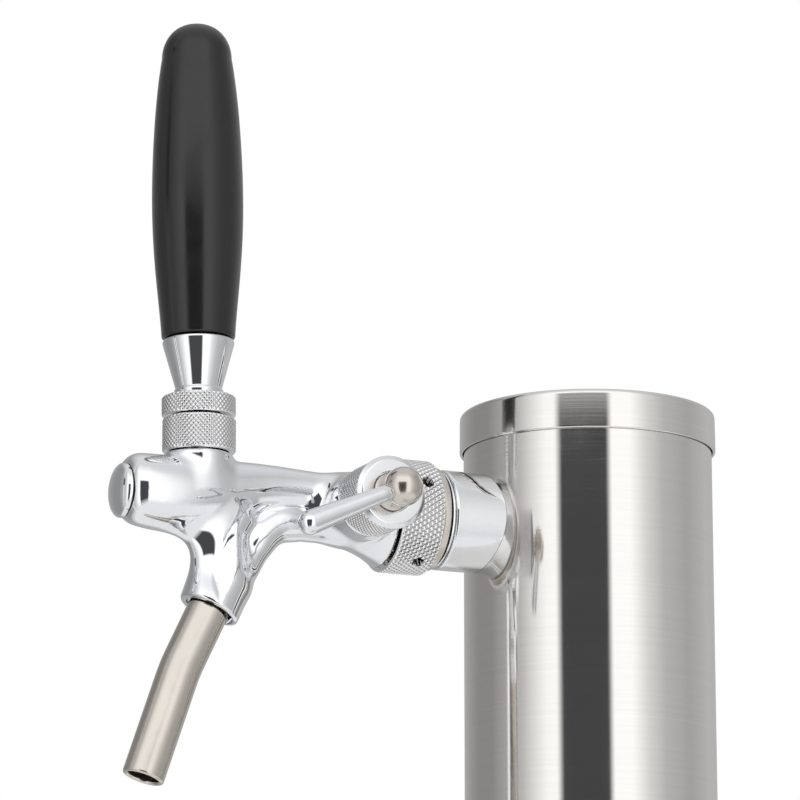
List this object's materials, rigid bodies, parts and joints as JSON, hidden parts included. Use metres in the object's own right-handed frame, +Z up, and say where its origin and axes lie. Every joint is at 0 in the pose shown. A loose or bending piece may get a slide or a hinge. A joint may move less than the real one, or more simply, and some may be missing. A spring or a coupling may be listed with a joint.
{
  "type": "beer tap tower",
  "caption": "Counter column with cap and base flange, carrying a chrome draught faucet with tilting black handle, curved spout and side flow-control lever.",
  "frame": {"origin": "on the column's axis, in the plane of the counter, at the underside of the base gasket", "axes": "+Z up along the column, faucet and spout towards -Y, flow-control lever on the +X side"},
  "size_m": [0.115, 0.2138, 0.435],
  "materials": {
    "chrome": "polished mirror chrome plate",
    "knurled_chrome": "diamond-knurled chrome plate",
    "brushed_column": "polished stainless with fine brush lines around the tube",
    "nickel": "warm satin stainless",
    "black_grip": "satin black moulded plastic",
    "steel": "turned stainless",
    "brass": "turned brass",
    "rubber": "matt black rubber",
    "washer_plastic": "natural nylon"
  },
  "bodies": {
    "tower": {"base_gasket": "rubber", "base_flange": "brushed_column", "base_screw_1": "steel", "base_screw_2": "steel", "base_screw_3": "steel", "base_screw_4": "steel", "column_tube": "brushed_column", "shank_collar": "chrome", "collar_washer": "rubber", "shank_lock_ring": "nickel", "shank": "brass", "saddle_washer": "steel", "shank_nut": "brass", "tail_washer": "rubber", "tail_elbow": "steel", "tail_nut": "brass", "coupling_washer": "rubber", "coupling_nut": "knurled_chrome", "faucet_body": "chrome", "front_plug": "chrome", "plug_seal": "rubber", "seat_washer": "washer_plastic", "ball_washer": "washer_plastic", "lever_collar": "knurled_chrome", "spout_tube": "nickel", "spout_oring": "rubber", "stem_oring": "rubber", "flow_gland": "knurled_chrome"},
    "cap": {"top_cap": "brushed_column", "cap_seal": "rubber"},
    "lever": {"ball_lever": "steel", "handle_jam_nut": "knurled_chrome", "handle_ferrule": "chrome", "handle_insert": "brass", "tap_handle": "black_grip"},
    "valve": {"valve_shaft": "steel", "shaft_oring_rear": "rubber", "shaft_oring_front": "rubber", "valve_seal": "rubber", "seal_screw": "steel"},
    "flow_control": {"flow_stem": "steel", "flow_disc": "chrome", "flow_hub": "nickel", "flow_ball": "nickel", "flow_rod": "chrome"},
    "compensator": {"compensator_cone": "washer_plastic"}
  },
  "joints": [
    {"name": "lever_tilt", "type": "hinge", "parent": "tower", "child": "lever", "pos_m": [0, -0.128, 0.305], "axis": [1, 0, 0], "range_deg": [0, 31]},
    {"name": "valve_slide", "type": "slide", "parent": "tower", "child": "valve", "axis": [0, 1, 0], "range_m": [0, 0.0063]},
    {"name": "flow_turn", "type": "hinge", "parent": "tower", "child": "flow_control", "pos_m": [0.03, -0.08, 0.29], "axis": [1, 0, 0], "range_deg": [-60, 60]},
    {"name": "compensator_slide", "type": "slide", "parent": "tower", "child": "compensator", "axis": [0, 1, 0], "range_m": [-0.0019, 0.0019]},
    {"name": "cap_lift", "type": "slide", "parent": "tower", "child": "cap", "axis": [0, 0, 1], "range_m": [0, 0.03]}
  ],
  "couplings": [
    {"joint": "valve_slide", "follows": "lever_tilt", "m_per_rad": 0.0114},
    {"joint": "compensator_slide", "follows": "flow_turn", "m_per_rad": 0.0018}
  ]
}
